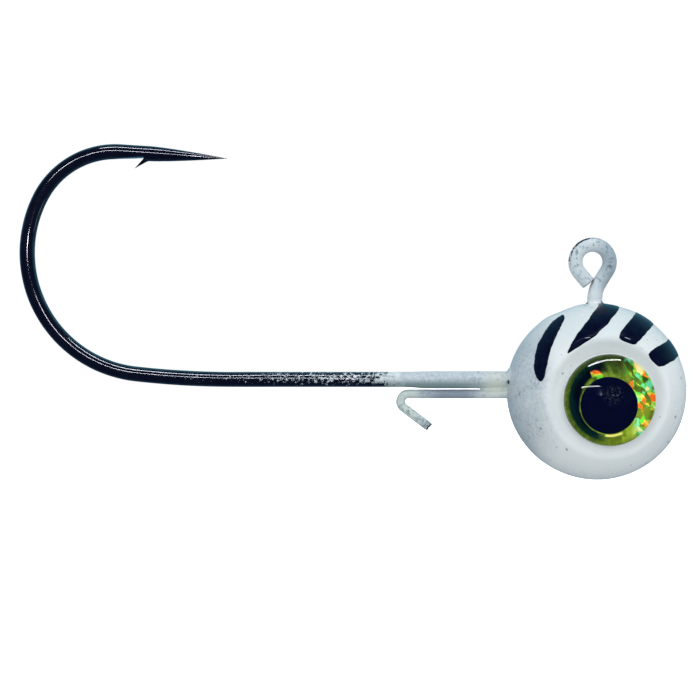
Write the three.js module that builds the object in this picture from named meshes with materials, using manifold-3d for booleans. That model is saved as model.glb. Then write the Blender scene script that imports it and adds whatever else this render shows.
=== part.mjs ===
// A ball-head fishing jig: a jig hook with a lead ball cast round its bent neck, a wire bait
// keeper cast in under the shank, one coat of white paint, black brush strokes over the crown
// and a resin-domed eye on each side.
//
// Millimetres, +Z up. The origin is the centre of the line eye's hole. +X runs along the shank
// towards the nose, and the hook's wire lies in the plane y = 0.
import * as THREE from 'three';
import { mergeVertices } from 'three/addons/utils/BufferGeometryUtils.js';
import Module from 'manifold-3d';

// Driving dimensions
const HOOK_WIRE = 0.52; // radius of the bare wire
const KEEPER_WIRE = 0.28;
const KEEPER_DROP = 1.0; // from the shank's centre to the keeper's
const KEEPER_ROOT = -2.2; // front end of the keeper's straight back
const KEEPER_BACK = -12.71; // rear end of it
const LINE_EYE_BEND = 1.18; // radius to the centre of the wire
const LINE_EYE_SCALE = 0.86; // the wire at its cut end, as a share of the rest
const NECK_BEND = 1.8; // the right angle inside the head
const SHANK_Z = -8.12; // centre of the shank
const SHANK_LENGTH = 23.1; // from the neck bend to the first bend of the hook
const POINT_LENGTH = 5.3; // tapered end of the hook
const POINT_CONVEXITY = 1.35; // 1 is a plain cone
const TIP_SCALE = 0.04; // the very tip, as a share of the wire
const BARB_WIDTH = 0.34;

const HEAD_CENTRE = new THREE.Vector3(0.19, 0, -8.94);
const HEAD_RADIUS = 6.07; // over the paint
const COAT = 0.1; // paint thickness on the head
const WIRE_COAT = 0.03; // paint thickness on the wires
const BARE_END = 0.12; // of each wire's cut end that the paint leaves free
const SHANK_COAT = 9.2; // length of the paint's sleeve on the shank, from inside the head
const SHANK_COAT_END = -13.2; // where it ends
const FIT = 0.01; // clearance between pieces that touch
const LAYER = 0.04; // thickness of a brush stroke

const SOCKET_SEAT = 4.25; // painted flat of the eye socket, from the middle plane
const SOCKET_FLAT = 3.34; // radius of that flat
const SOCKET_SLOPE = 0.7; // rise over run of the wall round it
const SOCKET_X = -0.12; // centre of the socket, from the head's centre
const SOCKET_Z = -0.52;

const EYE_RADIUS = 3.0;
const EYE_X = 0.06; // centre of the eye, from the head's centre
const EYE_Z = -0.42;
const GLUE = 0.06;
const FOIL = 0.06;
const PUPIL = 0.02;
const PUPIL_RADIUS = 1.7;
const PUPIL_X = -0.08; // centre of the pupil, from the eye's centre
const PUPIL_Z = -0.32;
const LENS_EDGE = 0.3;
const LENS_HEIGHT = 1.5;

const SAGITTA = 0.015; // most that a facet leaves an arc
const HEAD_SIDES = 40;
const ROUND_SIDES = 36;

const wasm = await Module();
wasm.setup();

// ---------------------------------------------------------------- solids

function solid(geometry) {
  const bare = geometry.clone();
  bare.deleteAttribute('normal');
  bare.deleteAttribute('uv');
  const merged = mergeVertices(bare, 1e-4);
  return new wasm.Manifold(
    new wasm.Mesh({
      numProp: 3,
      vertProperties: merged.attributes.position.array,
      triVerts: new Uint32Array(merged.index.array),
    }),
  );
}

function geometryOf(body) {
  const { vertProperties, triVerts } = body.getMesh();
  const geometry = new THREE.BufferGeometry();
  geometry.setAttribute('position', new THREE.BufferAttribute(vertProperties, 3));
  geometry.setIndex(new THREE.BufferAttribute(triVerts, 1));
  geometry.computeVertexNormals();
  return geometry;
}

const join = (...bodies) => bodies.reduce((sum, body) => sum.add(body));

function lathe(profile, sides = ROUND_SIDES) {
  return new THREE.LatheGeometry(profile, sides);
}

// ---------------------------------------------------------------- bent wire

// A wire's centre line in the plane y = 0, made of straight runs and arcs. A move is
// { run, steps } in millimetres or { turn, radius } in degrees, counter-clockwise as seen
// with +X right and +Z up. Its parameter counts stations, so an arc has many and a run one.
class WirePath extends THREE.Curve {
  constructor(x, z, heading, moves) {
    super();
    this.stations = [{ x, z, heading: THREE.MathUtils.degToRad(heading), length: 0 }];
    for (const move of moves) {
      if (move.run) this.addRun(move.run, move.steps ?? 1);
      else this.addArc(THREE.MathUtils.degToRad(move.turn), move.radius);
    }
  }

  get end() {
    return this.stations[this.stations.length - 1];
  }

  addRun(length, steps) {
    const from = this.end;
    for (let i = 1; i <= steps; i++) {
      const along = (length * i) / steps;
      this.stations.push({
        x: from.x + along * Math.cos(from.heading),
        z: from.z + along * Math.sin(from.heading),
        heading: from.heading,
        length: from.length + along,
      });
    }
  }

  addArc(turn, radius) {
    const from = this.end;
    const largest = Math.min(2 * Math.acos(1 - SAGITTA / radius), Math.PI / 12);
    const steps = Math.ceil(Math.abs(turn) / largest);
    const side = Math.sign(turn) * radius;
    for (let i = 1; i <= steps; i++) {
      const heading = from.heading + (turn * i) / steps;
      this.stations.push({
        x: from.x + side * (Math.sin(heading) - Math.sin(from.heading)),
        z: from.z - side * (Math.cos(heading) - Math.cos(from.heading)),
        heading,
        length: from.length + Math.abs(turn * radius * i) / steps,
      });
    }
  }

  getPoint(t, target = new THREE.Vector3()) {
    const place = t * (this.stations.length - 1);
    const i = Math.min(Math.floor(place), this.stations.length - 2);
    const a = this.stations[i];
    const b = this.stations[i + 1];
    const share = place - i;
    return target.set(a.x + share * (b.x - a.x), 0, a.z + share * (b.z - a.z));
  }

  getPointAt(t, target) {
    return this.getPoint(t, target);
  }

  getTangentAt(t, target = new THREE.Vector3()) {
    const { heading } = this.stations[Math.round(t * (this.stations.length - 1))];
    return target.set(Math.cos(heading), 0, Math.sin(heading));
  }
}

function sweep(path, radius, quarterSides = 4) {
  const section = new THREE.Shape().absarc(0, 0, radius, 0, 2 * Math.PI, false);
  return new THREE.ExtrudeGeometry(section, {
    extrudePath: path,
    steps: path.stations.length - 1,
    curveSegments: 2 * quarterSides,
  });
}

// The line eye is bent round the origin. Its path starts at the wire's cut end, a run before
// the ring, and ends where the stem begins.
const LINE_EYE_HEADING = 130; // degrees, of the wire at its cut end
const LINE_EYE_TURN = 252; // how far the ring goes round, in degrees
const LINE_EYE_END = 0.98;
const THROAT = 0.96; // from the ring to where the stem straightens up
const THROAT_RADIUS = 2.2;

function lineEyePath(moves = [], extraEnd = 0) {
  const heading = THREE.MathUtils.degToRad(LINE_EYE_HEADING);
  const run = LINE_EYE_END + extraEnd;
  const x = -LINE_EYE_BEND * Math.sin(heading) - run * Math.cos(heading);
  const z = LINE_EYE_BEND * Math.cos(heading) - run * Math.sin(heading);
  return new WirePath(x, z, LINE_EYE_HEADING, [
    { run },
    { turn: -LINE_EYE_TURN, radius: LINE_EYE_BEND },
    { run: THROAT },
    { turn: LINE_EYE_TURN - LINE_EYE_HEADING - 90, radius: THROAT_RADIUS },
    ...moves,
  ]);
}

const STEM_TOP = lineEyePath().end;
const STEM_LENGTH = STEM_TOP.z - SHANK_Z - NECK_BEND;

// Scales each ring of a swept wire about its station. A vertex lies in its station's plane, one
// radius away from it.
function drawWire(geometry, path, radius, scaleAt) {
  const { position } = geometry.attributes;
  const vertex = new THREE.Vector3();
  const miss = ({ x, z, heading }) => {
    const away = Math.hypot(vertex.x - x, vertex.y, vertex.z - z);
    const along = (vertex.x - x) * Math.cos(heading) + (vertex.z - z) * Math.sin(heading);
    return Math.abs(along) + Math.abs(away - radius);
  };
  for (let i = 0; i < position.count; i++) {
    vertex.fromBufferAttribute(position, i);
    const own = path.stations.reduce((best, next) => (miss(next) < miss(best) ? next : best));
    const scale = scaleAt(own.length);
    const x = own.x + scale * (vertex.x - own.x);
    const z = own.z + scale * (vertex.z - own.z);
    position.setXYZ(i, x, scale * vertex.y, z);
  }
  return geometry;
}

// The hook's wire or a skin over it: thin round the line eye, and grown to full size in the head.
function sweepFromLineEye(path, radius) {
  const reach = STEM_TOP.length + STEM_LENGTH;
  const share = (length) => Math.min(length / reach, 1) ** 3;
  const scaleAt = (length) => THREE.MathUtils.lerp(LINE_EYE_SCALE, 1, share(length));
  return drawWire(sweep(path, radius), path, radius, scaleAt);
}

function hookPath(extraEnd = 0) {
  return lineEyePath([
    { run: STEM_LENGTH },
    { turn: -90, radius: NECK_BEND },
    { run: SHANK_LENGTH },
    { turn: -6.4, radius: 60.96 },
    { turn: -110.2, radius: 8.42 },
    { turn: -67, radius: 5.8 },
    { run: 7.36 - POINT_LENGTH },
    { run: POINT_LENGTH, steps: 8 },
  ], extraEnd);
}

// The keeper, from its bent root inside the lead, back under the shank and round to its free
// end. The free end can be given some length more or less.
function keeperPath(extraEnd = 0) {
  const rootRun = 0.9;
  const rootRadius = 0.5;
  const rootLean = Math.PI / 3; // of the root from the keeper's back
  const x = KEEPER_ROOT + rootRadius * Math.sin(rootLean) + rootRun * Math.cos(rootLean);
  const drop = rootRadius * (1 - Math.cos(rootLean)) + rootRun * Math.sin(rootLean);
  return new WirePath(x, SHANK_Z - KEEPER_DROP - drop, 120, [
    { run: rootRun },
    { turn: 60, radius: rootRadius },
    { run: KEEPER_ROOT - KEEPER_BACK },
    { turn: 143, radius: 0.53 },
    { run: 2.14 + extraEnd },
  ]);
}

// Tapers the last stretch of the hook's wire to a slightly convex needle.
function sharpen(geometry, path) {
  const scaleAt = (length) => {
    const share = Math.min((path.end.length - length) / POINT_LENGTH, 1);
    return Math.max(1 - (1 - share) ** POINT_CONVEXITY, TIP_SCALE);
  };
  return drawWire(geometry, path, HOOK_WIRE, scaleAt);
}

// A prism with the given outline in the plane y = 0, as x and z.
function prism(outline, halfWidth) {
  const shape = new THREE.Shape(outline.map(([x, z]) => new THREE.Vector2(x, z)));
  const geometry = new THREE.ExtrudeGeometry(shape, { depth: 2 * halfWidth, bevelEnabled: false });
  return solid(geometry.translate(0, 0, -halfWidth).rotateX(Math.PI / 2));
}

// The barb is a sliver raised from the inner side of the wire, with the notch that it was cut
// out of behind it. Both are laid out from the tip, back along the point and down to the shank.
function barb(path) {
  const tip = path.getPoint(1);
  const forward = path.getTangentAt(1);
  const at = (behindTip, down) => [
    tip.x - behindTip * forward.x + down * forward.z,
    tip.z - behindTip * forward.z - down * forward.x,
  ];
  const blade = [at(4.8, 0.3), at(5.2, 0.49), at(6.28, 1.07), at(5.74, 0.33), at(5.4, 0.25)];
  const notch = [at(5.72, 0.3), at(6.3, 1.09), at(7.8, 0.7), at(7.65, 0.51)];
  const sliver = prism(blade, BARB_WIDTH / 2);
  const cut = prism(notch, 1.2 * HOOK_WIRE);
  return { sliver, cut };
}

function hook() {
  const path = hookPath();
  const { sliver, cut } = barb(path);
  return solid(sharpen(sweepFromLineEye(path, HOOK_WIRE), path)).subtract(cut).add(sliver);
}

// ---------------------------------------------------------------- head

// The space over an eye socket, whose flat lies at the given distance from the middle plane.
function socketSpace(seat, side) {
  const rise = 3;
  const profile = [
    new THREE.Vector2(0, seat),
    new THREE.Vector2(SOCKET_FLAT, seat),
    new THREE.Vector2(SOCKET_FLAT + rise / SOCKET_SLOPE, seat + rise),
    new THREE.Vector2(0, seat + rise),
  ];
  const space = lathe(profile, HEAD_SIDES);
  if (side < 0) space.rotateX(Math.PI);
  return solid(space.translate(HEAD_CENTRE.x + SOCKET_X, 0, HEAD_CENTRE.z + SOCKET_Z));
}

// The scar of the clipped sprue, a small flat just behind the stem.
function sprueSpace(radius) {
  const scarDepth = 0.1;
  const lean = THREE.MathUtils.degToRad(21.9);
  const disc = new THREE.CylinderGeometry(2, 2, 1, HEAD_SIDES);
  disc.translate(0, radius - scarDepth + 0.5, 0).rotateX(Math.PI / 2).rotateY(-lean);
  return solid(disc.translate(...HEAD_CENTRE));
}

// The head's ball with its sockets and scar, drawn in by the given inset from the painted skin.
function headBody(inset) {
  const ball = new THREE.SphereGeometry(HEAD_RADIUS - inset, HEAD_SIDES, HEAD_SIDES / 2);
  return solid(ball.translate(...HEAD_CENTRE))
    .subtract(socketSpace(SOCKET_SEAT - inset, 1))
    .subtract(socketSpace(SOCKET_SEAT - inset, -1))
    .subtract(sprueSpace(HEAD_RADIUS - inset));
}

// Both wires with a clearance, for the channels that they run in. The space runs past the
// wires' cut ends.
function wireSpace(clearance) {
  return join(
    solid(sweepFromLineEye(hookPath(clearance), HOOK_WIRE + clearance)),
    solid(sweep(keeperPath(clearance), KEEPER_WIRE + clearance, 3)),
  );
}

function leadHead() {
  return headBody(COAT + FIT).subtract(wireSpace(FIT));
}

// The paint that bridges shank and keeper where they leave the head.
function paintWeb() {
  const keeperZ = SHANK_Z - KEEPER_DROP;
  const outline = [
    [-5.5, SHANK_Z],
    [-8.3, SHANK_Z],
    [-7.9, (SHANK_Z + keeperZ) / 2],
    [-8.3, keeperZ],
    [-5.5, keeperZ],
  ];
  return prism(outline, 0.16);
}

// One skin over the head, the line eye, the keeper and the first stretch of the shank. It stops
// a little short of the wires' cut ends.
function whiteCoat() {
  const stem = lineEyePath([{ run: STEM_LENGTH }], -BARE_END);
  const shank = new WirePath(SHANK_COAT_END + SHANK_COAT, SHANK_Z, 180, [{ run: SHANK_COAT }]);
  const skin = join(
    headBody(0),
    solid(sweepFromLineEye(stem, HOOK_WIRE + FIT + WIRE_COAT)),
    solid(sweep(shank, HOOK_WIRE + FIT + WIRE_COAT)),
    solid(sweep(keeperPath(-BARE_END), KEEPER_WIRE + FIT + WIRE_COAT, 3)),
    paintWeb(),
  );
  return skin.subtract(headBody(COAT)).subtract(wireSpace(FIT));
}

// ---------------------------------------------------------------- brush strokes

// An outline along a curved centre line, in x and z from the head's centre. Its width grows
// from foot to middle over the given share of its length and can draw in again at the end.
function strokeOutline({ foot, bend, end, width, footShare, endShare }) {
  const line = new THREE.QuadraticBezierCurve(
    new THREE.Vector2(...foot),
    new THREE.Vector2(...bend),
    new THREE.Vector2(...end),
  );
  const steps = 14;
  const left = [];
  const right = [];
  for (let i = 0; i <= steps; i++) {
    const t = i / steps;
    const round = (share, from) => (share ? Math.sqrt(1 - Math.max(1 - from / share, 0) ** 2) : 1);
    const half = 0.5 * width * Math.max(round(footShare, t) * round(endShare, 1 - t), 0.12);
    const centre = line.getPoint(t);
    const tangent = line.getTangent(t);
    left.push([centre.x - half * tangent.y, centre.y + half * tangent.x]);
    right.unshift([centre.x + half * tangent.y, centre.y - half * tangent.x]);
  }
  return [...left, ...right].map(([x, z]) => [x + HEAD_CENTRE.x, z + HEAD_CENTRE.z]);
}

const STROKES = {
  rear: {
    foot: [-4.5, 0.85], bend: [-4.5, 3.2], end: [-2.5, 5.2],
    width: 0.8, footShare: 0.16, endShare: 0.6,
  },
  crown: {
    foot: [-2.65, 2.6], bend: [-1.15, 4.35], end: [1.6, 6.65],
    width: 1.05, footShare: 0.8, endShare: 0,
  },
  brow: {
    foot: [0.92, 3.2], bend: [1.65, 4.3], end: [4.1, 5.6],
    width: 1.25, footShare: 0.2, endShare: 0,
  },
  nose: {
    foot: [2.45, 2.05], bend: [3.5, 2.5], end: [6.0, 3.4],
    width: 1.35, footShare: 0.25, endShare: 0,
  },
};

// A thin layer on the painted skin, within the stroke's outline. The stem's foot is left free.
function stroke(name) {
  const over = headBody(-FIT - LAYER).subtract(headBody(-FIT));
  const stemFoot = new WirePath(STEM_TOP.x, 0, 270, [{ run: 8 }]);
  return over
    .subtract(socketSpace(SOCKET_SEAT - 1, 1))
    .subtract(socketSpace(SOCKET_SEAT - 1, -1))
    .subtract(solid(sweep(stemFoot, HOOK_WIRE + WIRE_COAT + 0.1)))
    .intersect(prism(strokeOutline(STROKES[name]), 2 * HEAD_RADIUS));
}

function halfOf(body, side) {
  const box = new THREE.BoxGeometry(100, 50, 100).translate(0, 25 * side, 0);
  return body.intersect(solid(box));
}

// ---------------------------------------------------------------- eyes

// Each part of an eye is turned round the y axis, resting on the socket's flat.
function eyePiece(profile, side, x = 0, z = 0) {
  const piece = lathe(profile.map(([r, y]) => new THREE.Vector2(r, y)));
  if (side < 0) piece.rotateX(Math.PI);
  return solid(piece.translate(HEAD_CENTRE.x + EYE_X + x, 0, HEAD_CENTRE.z + EYE_Z + z));
}

const GLUE_TOP = SOCKET_SEAT + FIT + GLUE;
const FOIL_TOP = GLUE_TOP + FIT + FOIL;
const PUPIL_TOP = FOIL_TOP + FIT + PUPIL;

function disc(radius, low, high) {
  return [[0, low], [radius, low], [radius, high], [0, high]];
}

// Glue under the eye, squeezed out into a small bead round its rim.
function eyeGlue(side) {
  const bead = 0.15;
  const inner = EYE_RADIUS + FIT;
  const profile = [
    [0, SOCKET_SEAT + FIT],
    [inner + bead - 0.04, SOCKET_SEAT + FIT],
    [inner + bead * 0.5, GLUE_TOP + bead * 0.4],
    [inner, GLUE_TOP + bead],
    [inner, GLUE_TOP],
    [0, GLUE_TOP],
  ];
  return eyePiece(profile, side);
}

function eyeFoil(side) {
  return eyePiece(disc(EYE_RADIUS, GLUE_TOP + FIT, FOIL_TOP), side);
}

function eyePupil(side) {
  return eyePiece(disc(PUPIL_RADIUS, FOIL_TOP + FIT, PUPIL_TOP), side, PUPIL_X, PUPIL_Z);
}

// A drop of clear resin: a short upright edge and a spherical cap.
function eyeLens(side) {
  const base = PUPIL_TOP + FIT;
  const rise = LENS_HEIGHT - LENS_EDGE;
  const capRadius = (EYE_RADIUS ** 2 + rise ** 2) / (2 * rise);
  const capAngle = Math.asin(EYE_RADIUS / capRadius);
  const steps = 6;
  const profile = [[0, base], [EYE_RADIUS, base]];
  for (let i = 0; i <= steps; i++) {
    const angle = capAngle * (1 - i / steps);
    const height = base + LENS_HEIGHT - capRadius * (1 - Math.cos(angle));
    profile.push([capRadius * Math.sin(angle), height]);
  }
  return eyePiece(profile, side);
}

// ---------------------------------------------------------------- materials and assembly

function material(color, roughness, metalness, opacity = 1) {
  return new THREE.MeshStandardMaterial({
    color,
    roughness,
    metalness,
    opacity,
    transparent: opacity < 1,
  });
}

const finishes = {
  blackNickel: () => material(0x141726, 0.22, 1),
  lead: () => material(0x85888c, 0.55, 1),
  keeperSteel: () => material(0x9a9ca0, 0.35, 1),
  whitePaint: () => material(0xd9dfe2, 0.3, 0),
  blackPaint: () => material(0x0b0d14, 0.25, 0),
  glue: () => material(0xd8dad6, 0.2, 0, 0.6),
  foil: () => material(0x8aa62a, 0.2, 0.8),
  pupilInk: () => material(0x05060f, 0.3, 0),
  resin: () => material(0xf2f4ee, 0.05, 0, 0.25),
};

const group = new THREE.Group();

function addPiece(name, body, finish) {
  const mesh = new THREE.Mesh(geometryOf(body), finishes[finish]());
  mesh.name = name;
  group.add(mesh);
}

addPiece('hook', hook(), 'blackNickel');
addPiece('bait_keeper', solid(sweep(keeperPath(), KEEPER_WIRE, 3)), 'keeperSteel');
addPiece('lead_head', leadHead(), 'lead');
addPiece('white_coat', whiteCoat(), 'whitePaint');

addPiece('stroke_rear_right', halfOf(stroke('rear'), -1), 'blackPaint');
addPiece('stroke_rear_left', halfOf(stroke('rear'), 1), 'blackPaint');
addPiece('stroke_crown', stroke('crown'), 'blackPaint');
addPiece('stroke_brow', stroke('brow'), 'blackPaint');
addPiece('stroke_nose', stroke('nose'), 'blackPaint');

for (const [name, side] of [['right', -1], ['left', 1]]) {
  addPiece(`eye_glue_${name}`, eyeGlue(side), 'glue');
  addPiece(`eye_foil_${name}`, eyeFoil(side), 'foil');
  addPiece(`eye_pupil_${name}`, eyePupil(side), 'pupilInk');
  addPiece(`eye_lens_${name}`, eyeLens(side), 'resin');
}

export default group;
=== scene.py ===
"""The looks of a ball-head fishing jig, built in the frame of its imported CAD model.

Lengths are in millimetres and become metres where a mesh is made. The model's origin is the
centre of the line eye's hole, +X runs towards the nose, +Z is up, and the wire lies in y = 0.
"""

import math

import bmesh
import bpy
import numpy as np
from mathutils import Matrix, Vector, noise


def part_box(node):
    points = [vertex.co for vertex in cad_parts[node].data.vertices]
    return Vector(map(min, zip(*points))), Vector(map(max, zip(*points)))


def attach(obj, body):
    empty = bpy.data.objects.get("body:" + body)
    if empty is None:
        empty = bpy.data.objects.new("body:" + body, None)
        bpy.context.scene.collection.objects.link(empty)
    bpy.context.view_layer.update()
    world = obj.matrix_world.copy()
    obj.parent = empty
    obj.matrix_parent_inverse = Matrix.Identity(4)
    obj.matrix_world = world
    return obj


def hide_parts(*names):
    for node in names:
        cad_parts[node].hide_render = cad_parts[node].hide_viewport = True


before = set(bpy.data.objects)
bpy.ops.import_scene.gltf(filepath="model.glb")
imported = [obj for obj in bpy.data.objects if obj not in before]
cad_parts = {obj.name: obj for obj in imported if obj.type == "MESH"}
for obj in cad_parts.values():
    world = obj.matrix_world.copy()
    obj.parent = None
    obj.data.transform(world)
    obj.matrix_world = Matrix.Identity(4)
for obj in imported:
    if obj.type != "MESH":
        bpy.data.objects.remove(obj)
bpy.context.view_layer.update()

MM = 0.001
SAME_PLACE = 1e-8  # points closer than this, in metres, are one point

# ---------------------------------------------------------------- sizes

HOOK_WIRE = 0.52  # radius of the bare wire
KEEPER_WIRE = 0.28
WIRE_PAINT = 0.04
KEEPER_PAINT = 0.03
SHANK_Z = -8.12
KEEPER_DROP = 1.0  # from the shank's centre to the keeper's
KEEPER_ROOT = -2.2
KEEPER_BACK = -12.71
KEEPER_BARE_END = 0.05  # the wire runs this much further, and its paint stops this much short
POINT_LENGTH = 5.3
POINT_CURVE = 1.35  # 1 is a straight cone, and more is a rounder point
POINT_TIP = 0.03  # the needle's end, as a share of the wire
SLEEVE_START = -13.0  # where the paint on the shank becomes whole

HEAD_RADIUS = 6.07
SOCKET_SEAT = 4.25  # painted flat of the eye socket, from the middle plane
SOCKET_FLAT = 3.34
SOCKET_SLOPE = 0.7
SOCKET_X = -0.12  # centre of the socket, from the head's centre
SOCKET_Z = -0.52
RIDGE_ROUNDING = 0.5  # where the socket's wall meets the ball
FOOT_ROUNDING = 0.3  # where the socket's wall meets its flat

EYE_RADIUS = 3.0
PUPIL_X = -0.08  # centre of the pupil, from the eye's centre
PUPIL_Z = -0.32
PUPIL_RADIUS = 1.7

CAMERA_X = -17.05
CAMERA_Z = -5.78


def corners(node):
    """The lowest and highest corner of a CAD node, in millimetres."""
    return [np.array(corner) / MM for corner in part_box(node)]


# The painted ball touches its node's box at the nose and at the bottom.
coat_low, coat_high = corners("white_coat")
HEAD = np.array([coat_high[0] - HEAD_RADIUS, 0, coat_low[2] + HEAD_RADIUS])
eye_low, eye_high = corners("eye_foil_right")
EYE_X, EYE_Z = (eye_low + eye_high)[[0, 2]] / 2

# ---------------------------------------------------------------- meshes


def closed_mesh(grids):
    """Vertices and faces of grids. A grid is rings of points, all as long, closed at both ends."""
    vertices, faces = [], []
    for rings in grids:
        count, width = rings.shape[:2]
        start = len(vertices)
        vertices.extend(rings.reshape(-1, 3))
        for i in range(count - 1):
            a = start + i * width
            b = a + width
            for j in range(width):
                k = (j + 1) % width
                faces.append((a + j, a + k, b + k, b + j))
        for ring, order in ((0, 1), (count - 1, -1)):
            middle = len(vertices)
            vertices.append(rings[ring].mean(axis=0))
            base = start + ring * width
            for j in range(width):
                pair = (base + j, base + (j + 1) % width)[::order]
                faces.append((middle, *pair))
    return np.array(vertices) * MM, faces


def add_piece(name, grids, material, node):
    """A piece made of grids, in millimetres, that rides on the root body and stands for a node."""
    mesh = bpy.data.meshes.new(name)
    vertices, faces = closed_mesh(grids)
    mesh.from_pydata([tuple(v) for v in vertices], [], faces)
    body = bmesh.new()
    body.from_mesh(mesh)
    bmesh.ops.remove_doubles(body, verts=body.verts, dist=SAME_PLACE)
    bmesh.ops.recalc_face_normals(body, faces=body.faces)
    body.to_mesh(mesh)
    body.free()
    mesh.shade_smooth()
    mesh.materials.append(material)
    piece = bpy.data.objects.new(name, mesh)
    bpy.context.scene.collection.objects.link(piece)
    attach(piece, "root")
    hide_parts(node)


# ---------------------------------------------------------------- bent wire


def wire_path(x, z, heading, moves, step=0.16, turn_step=4):
    """Stations (x, z, heading, length so far) along straight runs and arcs, in radians."""
    stations = [(x, z, math.radians(heading), 0.0)]
    for kind, amount, radius in moves:
        x, z, start, length = stations[-1]
        if kind == "run":
            count = max(1, math.ceil(amount / step))
            for i in range(1, count + 1):
                along = amount * i / count
                stations.append((
                    x + along * math.cos(start),
                    z + along * math.sin(start),
                    start,
                    length + along,
                ))
            continue
        turn = math.radians(amount)
        side = math.copysign(radius, turn)
        count = max(math.ceil(abs(amount) / turn_step), math.ceil(abs(turn) * radius / step))
        for i in range(1, count + 1):
            now = start + turn * i / count
            stations.append((
                x + side * (math.sin(now) - math.sin(start)),
                z - side * (math.cos(now) - math.cos(start)),
                now,
                length + abs(turn) * radius * i / count,
            ))
    return np.array(stations)


def run(length):
    return ("run", length, 0)


def arc(turn, radius):
    return ("arc", turn, radius)


LINE_EYE_BEND = 1.18  # from the hole's centre to the wire's
LINE_EYE_HEADING = 130
LINE_EYE_TURN = 252
LINE_EYE_END = 0.98  # the straight stretch at the cut end
LINE_EYE_NECK = 0.96  # the straight stretch between the ring and the stem's bend
LINE_EYE_SCALE = 0.86  # the wire at the line eye's cut end, as a share of the rest
STEM_TURN = 32
STEM_BEND = 2.2
NECK_BEND = 1.8  # radius of the right angle inside the lead


def line_eye_path(moves=(), extra_end=0.0):
    heading = math.radians(LINE_EYE_HEADING)
    end = LINE_EYE_END + extra_end
    x = -LINE_EYE_BEND * math.sin(heading) - end * math.cos(heading)
    z = LINE_EYE_BEND * math.cos(heading) - end * math.sin(heading)
    ring = [run(end), arc(-LINE_EYE_TURN, LINE_EYE_BEND)]
    neck = [run(LINE_EYE_NECK), arc(STEM_TURN, STEM_BEND)]
    return wire_path(x, z, LINE_EYE_HEADING, [*ring, *neck, *moves])


_, STEM_TOP_Z, _, STEM_START = line_eye_path()[-1]
STEM_LENGTH = STEM_TOP_Z - SHANK_Z - NECK_BEND


def drawn_down(length):
    """Scale of the hook's wire along its path: it gets thinner towards the line eye's cut end."""
    share = np.clip(length / (STEM_START + STEM_LENGTH), 0, 1)
    return LINE_EYE_SCALE + (1 - LINE_EYE_SCALE) * share**3


def hook_path():
    shank = [run(23.1), arc(-6.4, 60.96)]
    bend = [arc(-110.2, 8.42), arc(-67, 5.8)]
    point = [run(7.36)]
    return line_eye_path([run(STEM_LENGTH), arc(-90, NECK_BEND), *shank, *bend, *point])


def keeper_path(extra_end=0.0):
    root_turn, root_run, root_radius = 60, 0.9, 0.5
    tail_turn, tail_run, tail_radius = 143, 2.14, 0.53
    lean = math.radians(root_turn)
    x = KEEPER_ROOT + root_radius * math.sin(lean) + root_run * math.cos(lean)
    drop = root_radius * (1 - math.cos(lean)) + root_run * math.sin(lean)
    root = [run(root_run), arc(root_turn, root_radius)]
    tail = [arc(tail_turn, tail_radius), run(tail_run + extra_end)]
    moves = [*root, run(KEEPER_ROOT - KEEPER_BACK), *tail]
    return wire_path(x, SHANK_Z - KEEPER_DROP - drop, 180 - root_turn, moves, step=0.1)


def tube_rows(path, radius, sides=40, shape=None):
    """Rings round the path. radius is a number or one for each station. shape(u, v, i) can move
    the points of ring i, where u points to the left of the heading and v along y."""
    angle = np.linspace(0, 2 * math.pi, sides, endpoint=False)
    radius = np.broadcast_to(radius, len(path))
    rows = []
    for i, (x, z, heading, _) in enumerate(path):
        u = radius[i] * np.cos(angle)
        v = radius[i] * np.sin(angle)
        if shape:
            u, v = shape(u, v, i)
        rows.append(np.stack([x - u * math.sin(heading), v, z + u * math.cos(heading)], axis=-1))
    return np.array(rows)


def along_wire(path):
    """Each station's length along the wire, as a place for waver."""
    length = path[:, 3]
    return np.stack([length, 0 * length, 0 * length], axis=1)


def waver(points, amount, size, seed=0.0):
    """A smooth random number for each point, for hand-made unevenness."""
    offset = Vector((seed, 2 * seed, -seed))
    return np.array([amount * noise.noise(Vector(p) / size + offset) for p in points])


# ---------------------------------------------------------------- shader helpers


NOISE_FEATURE = 0.7  # width of a noise texture's features at scale 1


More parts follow.
